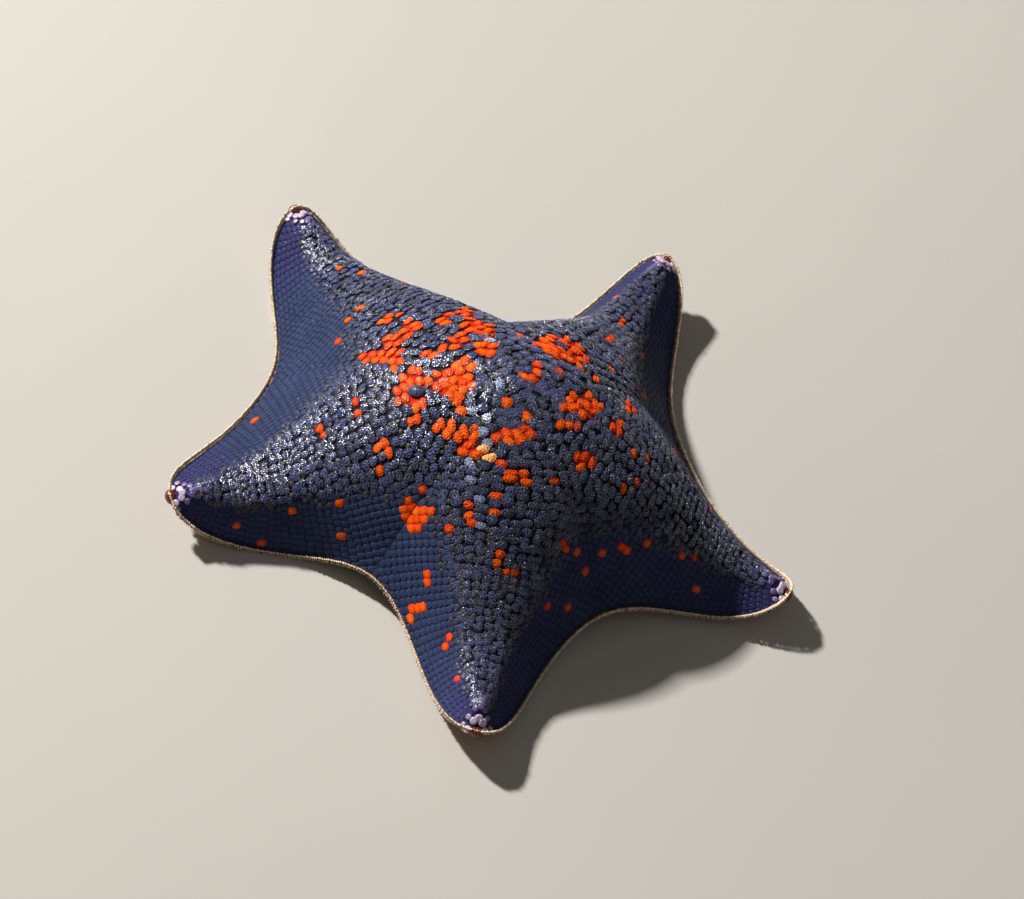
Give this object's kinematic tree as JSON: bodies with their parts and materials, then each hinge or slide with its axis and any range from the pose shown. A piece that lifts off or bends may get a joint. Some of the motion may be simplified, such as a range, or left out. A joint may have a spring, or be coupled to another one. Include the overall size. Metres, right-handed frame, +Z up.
{
  "type": "blue bat star starfish",
  "caption": "Broad five-armed starfish lying still, its disc arched and its arm tips curled up, with grooves and tube feet beneath.",
  "frame": {"origin": "on the floor, under the middle of the animal's box", "axes": "+Z up; the right arm points along +X, and the front arm points towards -Y and a little to the right"},
  "size_m": [0.0886, 0.0936, 0.0244],
  "materials": {
    "skin": "wet, granular",
    "eyespot": "wet, smooth",
    "jaw": "wet, rough",
    "madreporite": "fine grooves"
  },
  "bodies": {
    "root": {"disc": "skin", "arm_front": "skin", "arm_right": "skin", "arm_back_right": "skin", "arm_back_left": "skin", "arm_left": "skin", "eyespot_front": "eyespot", "eyespot_right": "eyespot", "eyespot_back_right": "eyespot", "eyespot_back_left": "eyespot", "eyespot_left": "eyespot", "jaw_1": "jaw", "jaw_2": "jaw", "jaw_3": "jaw", "jaw_4": "jaw", "jaw_5": "jaw", "madreporite": "madreporite"}
  },
  "joints": []
}
